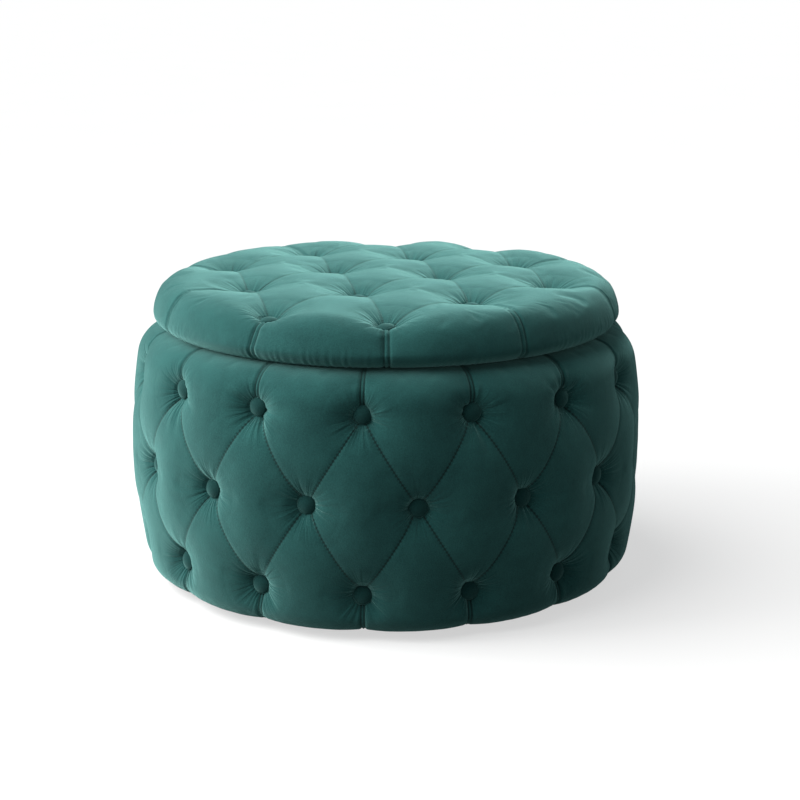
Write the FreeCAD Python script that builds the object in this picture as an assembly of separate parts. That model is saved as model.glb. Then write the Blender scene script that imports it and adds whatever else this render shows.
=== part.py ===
import FreeCAD
import Part
import math
import os

# Round button-tufted storage ottoman with a lift-off lid.
# Millimetres, +Z up. The origin is on the floor, under the centre of the ottoman,
# and -Y is the front. A wooden frame carries a foam jacket and a stitched velvet cover.
# Each covered button is pulled into the foam by a twine that is held behind the board.

# ---------------------------------------------------------------- driving dimensions
# Overall
body_width = 650.0            # across the belly of the body
rim_height = 318.0            # floor to the top of the covered rim
lid_crown = 68.0              # rim to the highest point of the lid
lid_inset = 31.0              # how far the lid's edge lies inside the belly

# Outline of the body's side
belly_height = 165.0          # floor to the widest point
belly_arc = 740.0             # radius of the long outward curve of the side
shoulder_arc = 45.0           # rounding from the side over onto the rim
toe_arc = 30.0                # rounding from the side to the underside
mouth_arc = 5.0               # rounding from the rim down into the mouth

# Outline of the lid
lid_dome_arc = 3200.0         # radius of the lid's shallow crown
lid_flat_width = 80.0         # level middle of the crown
lid_edge_arc = 40.0           # rounding from the crown to the lid's side

# Fabrics and boards
cover_thickness = 1.5
lining_thickness = 0.8
dust_cover_thickness = 0.8
floor_lining_thickness = 2.0
padding_thickness = 56.0      # foam and cover outside the wall skin, at the belly
rim_padding_thickness = 10.0
skin_thickness = 3.0
liner_thickness = 2.5
base_thickness = 15.0
ring_thickness = 15.0
lid_board_thickness = 15.0
locating_disc_thickness = 10.0
lid_side_padding = 24.0       # foam and cover outside the edge of the lid board

# Posts
frame_depth = 24.0            # radial depth of the uprights and the top ring
upright_width = 18.0
upright_count = 10

# Covered buttons
button_width = 24.0
button_edge = 2.5             # straight rim of a button, below its dome
button_height = 7.0
button_sink = 13.0            # top of a button below the padded surface round it
buttons_per_row = 15
button_phase = -5.2           # degrees from the front, towards +X, to the first button
upper_row_below_rim = 48.0
lower_row_height = 56.0
pit_mouth_width = 80.0        # width of the dip round a button, at the padded surface

# Lid buttons: staggered rows, in a lattice that is turned on the lid
lid_row_counts = (2, 3, 4, 3, 2)
lid_button_pitch = 140.0      # between buttons in one row
lid_row_pitch = 122.0         # between rows
lid_lattice_turn = -16.0      # degrees about +Z

# Twine and its anchors
twine_width = 1.6
anchor_width = 12.0
anchor_thickness = 2.0

# Fasteners
screw_width = 4.0
screw_head_width = 8.0
screw_head_height = 2.4
frame_screw_length = 45.0
disc_screw_length = 20.0
disc_screw_count = 6
disc_screw_inset = 83.0       # in from the edge of the locating disc
staple_width = 10.0
staple_leg = 6.0
staple_wire = 0.6
cover_staple_count = 36
dust_staple_count = 24
lid_staple_count = 36
lining_staple_count = 24
staple_margin = 4.0           # between one circle of staples and what lies beside it

# Glides
glide_count = 4
glide_width = 24.0
glide_height = 6.0
glide_chamfer = 1.5
glide_inset = 69.0            # in from the outside of the wall skin
nail_width = 2.4
nail_head_width = 6.0
nail_head_height = 1.2
nail_length = 16.0

# Turned-in edges of the fabrics
cover_turn_in = 60.0          # underside of the body, in from the wall skin
mouth_hem = 30.0              # down into the mouth, from the rim
lid_turn_in = 30.0            # underside of the lid, in from the board's edge
lining_margin = 8.0           # edge of a lining, in from the board's edge

# Clearances
fit_gap = 0.2                 # between fitted layers
hole_gap = 0.05               # round a fastener
twine_gap = 0.4               # round a twine
seat_gap = 0.3                # lid above the rim
mouth_clearance = 2.5         # lined locating disc inside the mouth
pit_gap = 1.5                 # button inside its pit

# ---------------------------------------------------------------- what follows from them
body_radius = body_width / 2
lid_radius = body_radius - lid_inset
foam_inset = cover_thickness + fit_gap

# The wall, from the outside in
skin_outer = body_radius - padding_thickness
skin_inner = skin_outer - skin_thickness
frame_outer = skin_inner - fit_gap
frame_inner = frame_outer - frame_depth
liner_outer = frame_inner - fit_gap
liner_inner = liner_outer - liner_thickness
lining_outer = liner_inner - fit_gap
lining_inner = lining_outer - lining_thickness
hem_outer = lining_inner - fit_gap
mouth_radius = hem_outer - cover_thickness

# The body, from the floor up
dust_cover_bottom = glide_height
cover_bottom = dust_cover_bottom + dust_cover_thickness
base_bottom = cover_bottom + cover_thickness
base_top = base_bottom + base_thickness
ring_top = rim_height - foam_inset - rim_padding_thickness
ring_bottom = ring_top - ring_thickness
upper_row_height = rim_height - upper_row_below_rim
middle_row_height = (upper_row_height + lower_row_height) / 2
button_step = 360.0 / buttons_per_row

# The lid, from the rim up
lid_lining_bottom = rim_height + seat_gap
lid_cover_bottom = lid_lining_bottom + lining_thickness
lid_board_bottom = lid_cover_bottom + cover_thickness
lid_board_top = lid_board_bottom + lid_board_thickness
lid_top = rim_height + lid_crown
lid_board_radius = lid_radius - lid_side_padding
locating_disc_bottom = lid_board_bottom - locating_disc_thickness
lined_disc_radius = mouth_radius - mouth_clearance
locating_disc_radius = lined_disc_radius - lining_thickness - fit_gap

# Buttons
button_radius = button_width / 2
pit_depth = button_sink + button_height
pit_floor_radius = button_radius + pit_gap

UP = FreeCAD.Vector(0, 0, 1)
DOWN = FreeCAD.Vector(0, 0, -1)
AXIS_POINT = FreeCAD.Vector(0, 0, 0)


# ---------------------------------------------------------------- helpers
def point(radius, height):
    """A point of an outline, in the X-Z plane."""
    return FreeCAD.Vector(radius, 0, height)


def direction(angle):
    """Unit vector that points outwards, at an angle from the front towards +X."""
    turn = math.radians(angle)
    return FreeCAD.Vector(math.sin(turn), -math.cos(turn), 0)


def turned(edges):
    """Solid of revolution of a closed outline about +Z."""
    face = Part.Face(Part.Wire(Part.__sortEdges__(edges)))
    return face.revolve(AXIS_POINT, UP, 360)


def ring(inner, outer, low, high):
    """Ring, or a disc where inner is 0."""
    body = Part.makeCylinder(outer, high - low, FreeCAD.Vector(0, 0, low))
    if inner > 0:
        body = body.cut(Part.makeCylinder(inner, high - low, FreeCAD.Vector(0, 0, low)))
    return body


def lines(*points):
    """Straight edges through the points."""
    return [Part.LineSegment(a, b).toShape() for a, b in zip(points, points[1:])]


def arc(centre, radius, start, end):
    """Arc in the X-Z plane, from one angle to another, in degrees from +X towards +Z."""
    places = []
    for angle in (start, (start + end) / 2, end):
        turn = math.radians(angle)
        places.append(centre + FreeCAD.Vector(radius * math.cos(turn), 0, radius * math.sin(turn)))
    return Part.Arc(*places).toShape(), places[0], places[2]


def write(name, *solids):
    """One STEP file for a node: a solid, or a group of separate solids."""
    shape = solids[0] if len(solids) == 1 else Part.makeCompound(list(solids))
    if not shape.isValid():
        raise ValueError(name + " isn't a valid shape")
    shape.exportStep("parts/" + name + ".step")
    print(name, len(shape.Solids), round(shape.Volume / 1000, 1), "cm3")


# ---------------------------------------------------------------- outlines
def body_outline(inset):
    """Edges of the body's side, from the toe over the shoulder onto the rim.

    The inset moves the outline inwards. Also gives the two end points.
    """
    belly_centre = point(body_radius - belly_arc, belly_height)
    shoulder_z = rim_height - shoulder_arc
    toe_z = cover_bottom + toe_arc
    shoulder_reach = belly_arc - shoulder_arc
    toe_reach = belly_arc - toe_arc
    shoulder_rise = math.asin((shoulder_z - belly_height) / shoulder_reach)
    toe_rise = math.asin((toe_z - belly_height) / toe_reach)
    shoulder_x = belly_centre.x + shoulder_reach * math.cos(shoulder_rise)
    toe_x = belly_centre.x + toe_reach * math.cos(toe_rise)
    shoulder_angle = math.degrees(shoulder_rise)
    toe_angle = math.degrees(toe_rise)
    toe, start, _ = arc(point(toe_x, toe_z), toe_arc - inset, -90, toe_angle)
    belly, _, _ = arc(belly_centre, belly_arc - inset, toe_angle, shoulder_angle)
    shoulder, _, end = arc(point(shoulder_x, shoulder_z), shoulder_arc - inset, shoulder_angle, 90)
    return [toe, belly, shoulder], start, end


def lid_outline(inset):
    """Edges of the lid from the bottom edge over the side to the crown, and the end points."""
    dome_centre = point(lid_flat_width / 2, lid_top - lid_dome_arc)
    edge_x = lid_radius - lid_edge_arc
    edge_reach = lid_dome_arc - lid_edge_arc
    edge_angle = math.degrees(math.acos((edge_x - dome_centre.x) / edge_reach))
    edge_z = dome_centre.z + edge_reach * math.sin(math.radians(edge_angle))
    under_arc = edge_z - lid_cover_bottom
    under_x = lid_radius - under_arc
    under, start, _ = arc(point(under_x, edge_z), under_arc - inset, -90, 0)
    edge, _, _ = arc(point(edge_x, edge_z), lid_edge_arc - inset, 0, edge_angle)
    dome, _, end = arc(dome_centre, lid_dome_arc - inset, edge_angle, 90)
    return [under, edge, dome] + lines(end, point(0, end.z)), start, point(0, end.z)


def lid_surface_height(radius):
    """Height of the lid's crown at a distance from its centre."""
    slope_run = max(radius - lid_flat_width / 2, 0.0)
    return lid_top - lid_dome_arc + math.sqrt(lid_dome_arc ** 2 - slope_run ** 2)


def body_surface_radius(height):
    """Radius of the body's side at a height on the belly."""
    return body_radius - belly_arc + math.sqrt(belly_arc ** 2 - (height - belly_height) ** 2)


# ---------------------------------------------------------------- buttons
def body_button_seats():
    """For each row, the point on the padded surface and the outward direction of each button."""
    rows = {}
    plan = (("upper_row_buttons", upper_row_height, 0.0),
            ("middle_row_buttons", middle_row_height, 0.5),
            ("lower_row_buttons", lower_row_height, 0.0))
    for name, height, shift in plan:
        seats = []
        for number in range(buttons_per_row):
            out = direction(button_phase + (number + shift) * button_step)
            place = out * body_surface_radius(height) + FreeCAD.Vector(0, 0, height)
            seats.append((place, out))
        rows[name] = seats
    return rows


def lid_button_seats():
    """The point on the crown and the upward direction of each lid button."""
    seats = []
    middle = (len(lid_row_counts) - 1) / 2
    turn = math.radians(lid_lattice_turn)
    for row, count in enumerate(lid_row_counts):
        across = (row - middle) * lid_row_pitch
        for number in range(count):
            along = (number - (count - 1) / 2) * lid_button_pitch
            x = along * math.cos(turn) - across * math.sin(turn)
            y = along * math.sin(turn) + across * math.cos(turn)
            height = lid_surface_height(math.hypot(x, y))
            seats.append((FreeCAD.Vector(x, y, height), UP))
    return seats


def pits(seats, inset):
    """Cone-shaped dips in the padding, one for each button, grown by the inset."""
    slope = (pit_mouth_width / 2 - pit_floor_radius) / pit_depth
    cones = []
    for place, out in seats:
        foot = place - out * (pit_depth + inset)
        foot_radius = pit_floor_radius + inset
        rise = pit_depth + inset + button_height
        cones.append(Part.makeCone(foot_radius, foot_radius + slope * rise, rise, foot, out))
    return cones


def covered_button(place, out):
    """Domed button with a straight rim, its flat back on the floor of the pit."""
    dome = button_height - button_edge
    ball = (button_radius ** 2 + dome ** 2) / (2 * dome)
    spread = math.degrees(math.asin(button_radius / ball))
    top, side, crown = arc(point(0, button_height - ball), ball, 90 - spread, 90)
    rim = lines(crown, point(0, 0), point(button_radius, 0), side)
    button = turned([top] + rim)
    button.Placement = FreeCAD.Placement(place - out * pit_depth, FreeCAD.Rotation(UP, out))
    return button


def twine_holes(seats, reach, width):
    """Straight rods from the back of each button inwards, as wide as asked."""
    rods = []
    for place, out in seats:
        back = place - out * pit_depth
        rods.append(Part.makeCylinder(width / 2, reach(place), back, out * -1))
    return rods


# ---------------------------------------------------------------- fasteners
def wood_screw(head, into, length, gap=0.0):
    """Countersunk screw with its head's face at a point, running in a direction."""
    cone = Part.makeCone(screw_head_width / 2 + gap, screw_width / 2 + gap,
                         screw_head_height, head, into)
    shank = Part.makeCylinder(screw_width / 2 + gap, length + gap, head, into)
    return cone.fuse(shank).removeSplitter()


def staple(radius, angle, crown_low, gap=0.0):
    """Wire staple driven upwards, its crown along the circle, lying on a height."""
    wide = staple_width + 2 * gap
    wire = staple_wire + 2 * gap
    corner = FreeCAD.Vector(-wide / 2, -wire / 2, -gap)
    body = Part.makeBox(wide, wire, wire, corner)
    for side in (-1, 1):
        left = side * (staple_width - staple_wire) / 2 - wire / 2
        leg = Part.makeBox(wire, wire, staple_leg + 2 * gap, FreeCAD.Vector(left, -wire / 2, -gap))
        body = body.fuse(leg)
    out = direction(angle)
    body.Placement = FreeCAD.Placement(
        out * radius + FreeCAD.Vector(0, 0, crown_low), FreeCAD.Rotation(UP, angle))
    return body.removeSplitter()


def staples(count, radius, crown_low, gap=0.0, shift=0.0):
    """A circle of staples."""
    step = 360.0 / count
    return [staple(radius, (number + shift) * step, crown_low, gap) for number in range(count)]


# ---------------------------------------------------------------- where things go
body_rows = body_button_seats()
body_seats = [seat for seats in body_rows.values() for seat in seats]
lid_seats = lid_button_seats()

upright_step = 360.0 / upright_count
upright_angles = [button_phase + button_step / 4 + number * upright_step
                  for number in range(upright_count)]
glide_angles = [45.0 + number * 360.0 / glide_count for number in range(glide_count)]
screw_circle = (frame_inner + frame_outer) / 2
disc_screw_circle = locating_disc_radius - disc_screw_inset
glide_circle = skin_outer - glide_inset

# The twine of a body button ends at its anchor, which bears on the inside of the wall skin.
anchor_face = math.sqrt(skin_inner ** 2 - (anchor_width / 2) ** 2) - fit_gap
anchor_back = anchor_face - anchor_thickness

# Staple circles: inside the frame screws under the base, and near the cover's edge on the lid
dust_cover_radius = skin_outer - lining_margin
dust_staple_circle = screw_circle - screw_head_width / 2 - staple_margin
cover_staple_circle = dust_staple_circle - staple_wire - staple_margin
lid_lining_radius = lid_board_radius - lining_margin
lining_staple_circle = lid_lining_radius - lining_margin / 2
lid_staple_circle = lid_board_radius - lid_turn_in + staple_margin


def body_twine_reach(place):
    """Length of a body button's twine, from the button's back to the anchor."""
    return math.hypot(place.x, place.y) - pit_depth - anchor_face


def lid_twine_reach(place):
    """Length of a lid button's twine, from the button's back to the anchor."""
    return place.z - pit_depth - lid_board_bottom - anchor_thickness


def frame_screws(gap=0.0):
    """Screws down through the top ring and up through the base panel into each upright."""
    screws = []
    for angle in upright_angles:
        across = direction(angle) * screw_circle
        screws.append(wood_screw(across + UP * ring_top, DOWN, frame_screw_length, gap))
        screws.append(wood_screw(across + UP * base_bottom, UP, frame_screw_length, gap))
    return screws


def disc_screws(gap=0.0):
    """Screws up through the locating disc into the lid board."""
    screws = []
    for number in range(disc_screw_count):
        angle = number * 360.0 / disc_screw_count - lid_lattice_turn
        head = direction(angle) * disc_screw_circle + UP * locating_disc_bottom
        screws.append(wood_screw(head, UP, disc_screw_length, gap))
    return screws


def glide_nails(gap=0.0):
    """Headed nails up through the glides into the base panel."""
    nails = []
    for angle in glide_angles:
        foot = direction(angle) * glide_circle + UP * (glide_height / 2)
        head = Part.makeCylinder(nail_head_width / 2 + gap, nail_head_height + gap, foot, UP)
        shank = Part.makeCylinder(nail_width / 2 + gap, nail_length + gap, foot, UP)
        nails.append(head.fuse(shank).removeSplitter())
    return nails


# ---------------------------------------------------------------- the frame
def make_base_panel():
    panel = ring(0, skin_inner - fit_gap, base_bottom, base_top)
    panel = panel.cut(frame_screws(hole_gap)[1::2])
    panel = panel.cut(glide_nails(hole_gap))
    panel = panel.cut(staples(cover_staple_count, cover_staple_circle, cover_bottom, hole_gap))
    return panel.cut(staples(dust_staple_count, dust_staple_circle,
                             dust_cover_bottom - staple_wire, hole_gap, 0.5))


def make_upright(angle):
    """Softwood post, its inner and outer faces shaved to the curve of the frame."""
    out = direction(angle)
    height = ring_bottom - base_top
    post = Part.makeBox(upright_width, frame_depth * 2, height,
                        FreeCAD.Vector(-upright_width / 2, -frame_depth, 0))
    post.Placement = FreeCAD.Placement(
        out * screw_circle + UP * base_top, FreeCAD.Rotation(UP, angle))
    post = post.common(ring(frame_inner, frame_outer, base_top, ring_bottom))
    return post.cut(frame_screws(hole_gap))


def make_top_ring():
    return ring(frame_inner, frame_outer, ring_bottom, ring_top).cut(frame_screws(hole_gap)[0::2])


def make_wall_skin():
    skin = ring(skin_inner, skin_outer, base_bottom, ring_top)
    return skin.cut(twine_holes(body_seats, body_twine_reach, twine_width + 2 * twine_gap))


def make_liner_board():
    return ring(liner_inner, liner_outer, base_top, ring_top)


# ---------------------------------------------------------------- padding and covers
def make_wall_padding():
    """Foam jacket from the underside of the panel round to the edge of the rim padding."""
    side, start, end = body_outline(foam_inset)
    inner = skin_outer + fit_gap
    rim_z = rim_height - foam_inset
    back = lines(end, point(inner, rim_z), point(inner, start.z), start)
    foam = turned(side + back)
    foam = foam.cut(pits(body_seats, foam_inset))
    return foam.cut(twine_holes(body_seats, body_twine_reach, twine_width + 2 * twine_gap))


def make_rim_padding():
    """Foam ring on the frame, its inner top edge rounded like the cover over it."""
    low = ring_top
    high = rim_height - foam_inset
    inner = mouth_radius + foam_inset
    corner_radius = mouth_arc - foam_inset
    centre = point(inner + corner_radius, high - corner_radius)
    corner, start, end = arc(centre, corner_radius, 90, 180)
    rest = lines(end, point(inner, low), point(skin_outer, low), point(skin_outer, high), start)
    return turned([corner] + rest)


def body_form(inset):
    """Everything inside the body's outer surface, down to a line within the wall."""
    side, start, end = body_outline(inset)
    core = (frame_inner + frame_outer) / 2
    hem_low = rim_height - mouth_hem
    centre = point(mouth_radius + mouth_arc, rim_height - mouth_arc)
    corner, over, down = arc(centre, mouth_arc - inset, 90, 180)
    turn_in = skin_outer - cover_turn_in
    edges = side + lines(end, over) + [corner]
    edges += lines(down, point(down.x, hem_low), point(core, hem_low), point(core, base_bottom))
    if inset < cover_thickness:
        edges += lines(point(core, base_bottom), point(turn_in, base_bottom),
                       point(turn_in, start.z), start)
    else:
        edges += lines(point(core, base_bottom), start)
    return turned(edges).cut(pits(body_seats, inset))


def make_body_cover():
    cover = body_form(0.0).cut(body_form(cover_thickness))
    cover = cover.cut(twine_holes(body_seats, body_twine_reach, twine_width + 2 * twine_gap))
    cover = cover.cut(staples(cover_staple_count, cover_staple_circle, cover_bottom, hole_gap))
    return cover.cut(staples(dust_staple_count, dust_staple_circle,
                             dust_cover_bottom - staple_wire, hole_gap, 0.5))


def make_lid_padding():
    """Foam over the lid board and down round its edge."""
    side, start, end = lid_outline(foam_inset)
    inner = lid_board_radius + fit_gap
    back = lines(end, point(0, lid_board_top), point(inner, lid_board_top), point(inner, start.z),
                 start)
    foam = turned(side + back).cut(pits(lid_seats, foam_inset))
    return foam.cut(twine_holes(lid_seats, lid_twine_reach, twine_width + 2 * twine_gap))


def lid_form(inset):
    """Everything inside the lid's outer surface."""
    side, start, end = lid_outline(inset)
    back = lines(end, point(0, start.z), start)
    return turned(side + back).cut(pits(lid_seats, inset))


def make_lid_cover():
    """Velvet shell, open underneath inside its turned-in edge."""
    cover = lid_form(0.0).cut(lid_form(cover_thickness))
    opening = lid_board_radius - lid_turn_in
    cover = cover.cut(ring(0, opening, lid_cover_bottom - fit_gap, lid_board_bottom + fit_gap))
    cover = cover.cut(twine_holes(lid_seats, lid_twine_reach, twine_width + 2 * twine_gap))
    cover = cover.cut(staples(lid_staple_count, lid_staple_circle, lid_cover_bottom, hole_gap))
    return cover.cut(staples(lining_staple_count, lining_staple_circle, lid_lining_bottom,
                             hole_gap, 0.5))


# ---------------------------------------------------------------- the lid's boards
def anchor_seats_in_board(width, depth):
    """Round recesses in the underside of the lid board, one for each twine anchor."""
    return [Part.makeCylinder(width / 2, depth, FreeCAD.Vector(place.x, place.y, lid_board_bottom))
            for place, _ in lid_seats]


def make_lid_board():
    board = ring(0, lid_board_radius, lid_board_bottom, lid_board_top)
    board = board.cut(twine_holes(lid_seats, lid_twine_reach, twine_width + 2 * twine_gap))
    board = board.cut(anchor_seats_in_board(anchor_width + 2 * twine_gap, anchor_thickness))
    board = board.cut(disc_screws(hole_gap))
    board = board.cut(staples(lid_staple_count, lid_staple_circle, lid_cover_bottom, hole_gap))
    return board.cut(staples(lining_staple_count, lining_staple_circle, lid_lining_bottom,
                             hole_gap, 0.5))


def make_locating_disc():
    disc = ring(0, locating_disc_radius, locating_disc_bottom, lid_board_bottom)
    return disc.cut(disc_screws(hole_gap))


def make_lid_lining():
    """Lining over the locating disc and out over the turned-in edge of the cover."""
    low = locating_disc_bottom - lining_thickness
    wall = lined_disc_radius - lining_thickness
    outline = lines(point(0, low), point(lined_disc_radius, low),
                    point(lined_disc_radius, lid_lining_bottom),
                    point(lid_lining_radius, lid_lining_bottom),
                    point(lid_lining_radius, lid_cover_bottom),
                    point(wall, lid_cover_bottom), point(wall, locating_disc_bottom),
                    point(0, locating_disc_bottom), point(0, low))
    lining = turned(outline)
    return lining.cut(staples(lining_staple_count, lining_staple_circle, lid_lining_bottom,
                              hole_gap, 0.5))


# ---------------------------------------------------------------- the underside
def make_dust_cover():
    sheet = ring(0, dust_cover_radius, dust_cover_bottom, cover_bottom)
    sheet = sheet.cut(glide_nails(hole_gap))
    return sheet.cut(staples(dust_staple_count, dust_staple_circle,
                             dust_cover_bottom - staple_wire, hole_gap, 0.5))


def make_glide(angle):
    """Moulded disc with a bevelled foot and a recess for the nail's head."""
    place = direction(angle) * glide_circle
    radius = glide_width / 2
    foot = Part.makeCone(radius - glide_chamfer, radius, glide_chamfer, place, UP)
    body = Part.makeCylinder(radius, glide_height - glide_chamfer, place + UP * glide_chamfer, UP)
    recess = Part.makeCylinder(nail_head_width / 2 + hole_gap, glide_height / 2, place, UP)
    return foot.fuse(body).removeSplitter().cut([recess] + glide_nails(hole_gap))


# ---------------------------------------------------------------- write every node
os.makedirs("parts", exist_ok=True)

write("base_panel", make_base_panel())
for number, angle in enumerate(upright_angles, start=1):
    write("upright_%02d" % number, make_upright(angle))
write("top_ring", make_top_ring())
write("wall_skin", make_wall_skin())
write("liner_board", make_liner_board())
write("frame_screws", *frame_screws())
write("wall_padding", make_wall_padding())
write("rim_padding", make_rim_padding())
write("body_cover", make_body_cover())
for name, seats in body_rows.items():
    write(name, *[covered_button(place, out) for place, out in seats])
write("button_twines", *twine_holes(body_seats, body_twine_reach, twine_width))
write("twine_anchors", *[
    Part.makeCylinder(anchor_width / 2, anchor_thickness,
                      FreeCAD.Vector(0, 0, place.z) + out * anchor_back, out)
    for place, out in body_seats])
write("wall_lining", ring(lining_inner, lining_outer, base_top, ring_top))
write("floor_lining", ring(0, lining_inner - fit_gap, base_top, base_top + floor_lining_thickness))
write("cover_staples", *staples(cover_staple_count, cover_staple_circle, cover_bottom))
write("dust_cover", make_dust_cover())
write("dust_cover_staples", *staples(dust_staple_count, dust_staple_circle,
                                     dust_cover_bottom - staple_wire, shift=0.5))
for number, angle in enumerate(glide_angles, start=1):
    write("glide_%d" % number, make_glide(angle))
write("glide_nails", *glide_nails())

write("lid_board", make_lid_board())
write("locating_disc", make_locating_disc())
write("disc_screws", *disc_screws())
write("lid_padding", make_lid_padding())
write("lid_cover", make_lid_cover())
write("lid_buttons", *[covered_button(place, out) for place, out in lid_seats])
write("lid_twines", *twine_holes(lid_seats, lid_twine_reach, twine_width))
write("lid_twine_anchors", *anchor_seats_in_board(anchor_width, anchor_thickness))
write("lid_lining", make_lid_lining())
write("lid_cover_staples", *staples(lid_staple_count, lid_staple_circle, lid_cover_bottom))
write("lid_lining_staples", *staples(lining_staple_count, lining_staple_circle,
                                     lid_lining_bottom, shift=0.5))
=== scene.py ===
import bmesh
import bpy
import math
import numpy as np
from mathutils import Matrix, Vector


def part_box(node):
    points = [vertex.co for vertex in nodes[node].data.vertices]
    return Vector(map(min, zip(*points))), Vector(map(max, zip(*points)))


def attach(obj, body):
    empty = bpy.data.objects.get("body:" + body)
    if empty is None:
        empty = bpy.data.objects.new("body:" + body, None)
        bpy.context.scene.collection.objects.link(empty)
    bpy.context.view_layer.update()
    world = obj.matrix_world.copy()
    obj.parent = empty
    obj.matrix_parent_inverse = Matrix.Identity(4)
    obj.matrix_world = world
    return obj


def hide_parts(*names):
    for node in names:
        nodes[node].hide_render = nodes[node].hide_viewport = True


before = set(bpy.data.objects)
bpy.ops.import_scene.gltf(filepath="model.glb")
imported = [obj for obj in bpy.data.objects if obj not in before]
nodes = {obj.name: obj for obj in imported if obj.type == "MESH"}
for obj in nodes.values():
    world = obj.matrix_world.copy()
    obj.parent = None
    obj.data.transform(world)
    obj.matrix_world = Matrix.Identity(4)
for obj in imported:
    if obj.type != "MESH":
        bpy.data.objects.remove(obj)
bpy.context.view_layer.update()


# ------------------------------------------------------------------ plywood boards
# Base panel, top ring, lid board and locating disc: birch plywood, sawn round and sanded.
# They are screwed to the uprights and to each other, and the padding hides all of them.
PLY_FACE = "#c9a877"
PLY_GRAIN = "#a98350"
PLY_GRAIN_WIDTH = 0.004
PLY_ROUGHNESS = 0.62
GRAIN_STRETCH = 0.08          # detail along the grain, for each one across it


def linear(colour):
    """Linear red, green, blue and alpha of an sRGB hex colour."""
    parts = [int(colour[k:k + 2], 16) / 255 for k in (1, 3, 5)]
    return [c / 12.92 if c <= 0.04045 else ((c + 0.055) / 1.055) ** 2.4 for c in parts] + [1.0]


def node(tree, kind, settings=None, links=None):
    """Adds a shader node, sets its fields and sockets, and links its inputs."""
    made = tree.nodes.new("ShaderNode" + kind)
    for name, value in (settings or {}).items():
        if isinstance(name, int) or name in made.inputs:
            made.inputs[name].default_value = value
        else:
            setattr(made, name, value)
    for name, source in (links or {}).items():
        tree.links.new(source, made.inputs[name])
    return made


def new_material(name):
    """An empty material, with its tree."""
    material = bpy.data.materials.new(name)
    material.use_nodes = True
    material.node_tree.nodes.clear()
    return material, material.node_tree


def finish_material(tree, settings, links):
    """Principled surface on the material's output."""
    surface = node(tree, "BsdfPrincipled", settings, links)
    node(tree, "OutputMaterial", links={"Surface": surface.outputs["BSDF"]})
    return surface


def mixed(tree, low, high, factor):
    """Colour between two hex colours."""
    return node(tree, "Mix", {"data_type": "RGBA", 6: linear(low), 7: linear(high)},
                {0: factor}).outputs[2]


def paint(names, material):
    """Gives CAD nodes a material in place of their plain one."""
    for name in names:
        for place in nodes[name].material_slots:
            place.material = material


def wood(name, face, grain, width, rough):
    """Straight-grained wood: long soft streaks along X, with finer pores between them."""
    material, tree = new_material(name)
    place = node(tree, "TexCoord").outputs["Object"]
    stretched = node(tree, "Mapping", {"Scale": (GRAIN_STRETCH, 1.0, 1.0)},
                     {"Vector": place}).outputs[0]
    streaks = node(tree, "TexNoise", {"Scale": 1 / width, "Detail": 4.0, "Distortion": 0.4},
                   {"Vector": stretched}).outputs[0]
    pores = node(tree, "TexNoise", {"Scale": 6 / width, "Detail": 2.0},
                 {"Vector": stretched}).outputs[0]
    relief = node(tree, "Bump", {"Strength": 0.25, "Distance": 0.0004}, {"Height": pores})
    finish_material(tree, {"Roughness": rough},
                    {"Base Color": mixed(tree, face, grain, streaks),
                     "Normal": relief.outputs[0]})
    return material


plywood = wood("birch_plywood", PLY_FACE, PLY_GRAIN, PLY_GRAIN_WIDTH, PLY_ROUGHNESS)
paint(["base_panel", "top_ring", "lid_board", "locating_disc"], plywood)


# ------------------------------------------------------------------ uprights
# Ten planed pine posts that stand on the base panel and carry the top ring.
# Planing leaves a dull, slightly uneven face with broad soft streaks.
PINE_FACE = "#d8b27a"
PINE_GRAIN = "#b3854a"
PINE_GRAIN_WIDTH = 0.006
PINE_ROUGHNESS = 0.66

pine = wood("planed_pine", PINE_FACE, PINE_GRAIN, PINE_GRAIN_WIDTH, PINE_ROUGHNESS)
paint(["upright_%02d" % number for number in range(1, 11)], pine)


# ------------------------------------------------------------------ bent boards
# Wall skin and liner board: tempered hardboard, bent round the uprights and pinned.
# Pressed wood fibre has a smooth brown face with fine darker flecks.
HARDBOARD_FLECK = 0.0012

hardboard, tree = new_material("tempered_hardboard")
place = node(tree, "TexCoord").outputs["Object"]
flecks = node(tree, "TexNoise", {"Scale": 1 / HARDBOARD_FLECK, "Detail": 3.0},
              {"Vector": place}).outputs[0]
relief = node(tree, "Bump", {"Strength": 0.15, "Distance": 0.0002}, {"Height": flecks})
finish_material(tree, {"Roughness": 0.5},
                {"Base Color": mixed(tree, "#5b3c25", "#7a5536", flecks),
                 "Normal": relief.outputs[0]})
paint(["wall_skin", "liner_board"], hardboard)


# ------------------------------------------------------------------ screws, nails and staples
# Zinc-plated screws and nails and galvanised staples. The plating is bright with a faint
# mottle, and a little rougher where the crystals show.
PLATING_MOTTLE = 0.0015

zinc, tree = new_material("zinc_plated_steel")
place = node(tree, "TexCoord").outputs["Object"]
mottle = node(tree, "TexNoise", {"Scale": 1 / PLATING_MOTTLE, "Detail": 2.0},
              {"Vector": place}).outputs[0]
roughness = node(tree, "MapRange", {"To Min": 0.28, "To Max": 0.45}, {"Value": mottle})
finish_material(tree, {"Metallic": 1.0},
                {"Base Color": mixed(tree, "#b9bbb8", "#d4d5d0", mottle),
                 "Roughness": roughness.outputs[0]})
paint(["frame_screws", "disc_screws", "glide_nails", "cover_staples", "dust_cover_staples",
       "lid_cover_staples", "lid_lining_staples"], zinc)


# ------------------------------------------------------------------ glides
# Four turned nylon glides under the base, each held by one nail through its middle.
# Nylon is slightly waxy, and the faces that slide on the floor are scuffed a little paler.
SCUFF = 0.003

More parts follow.
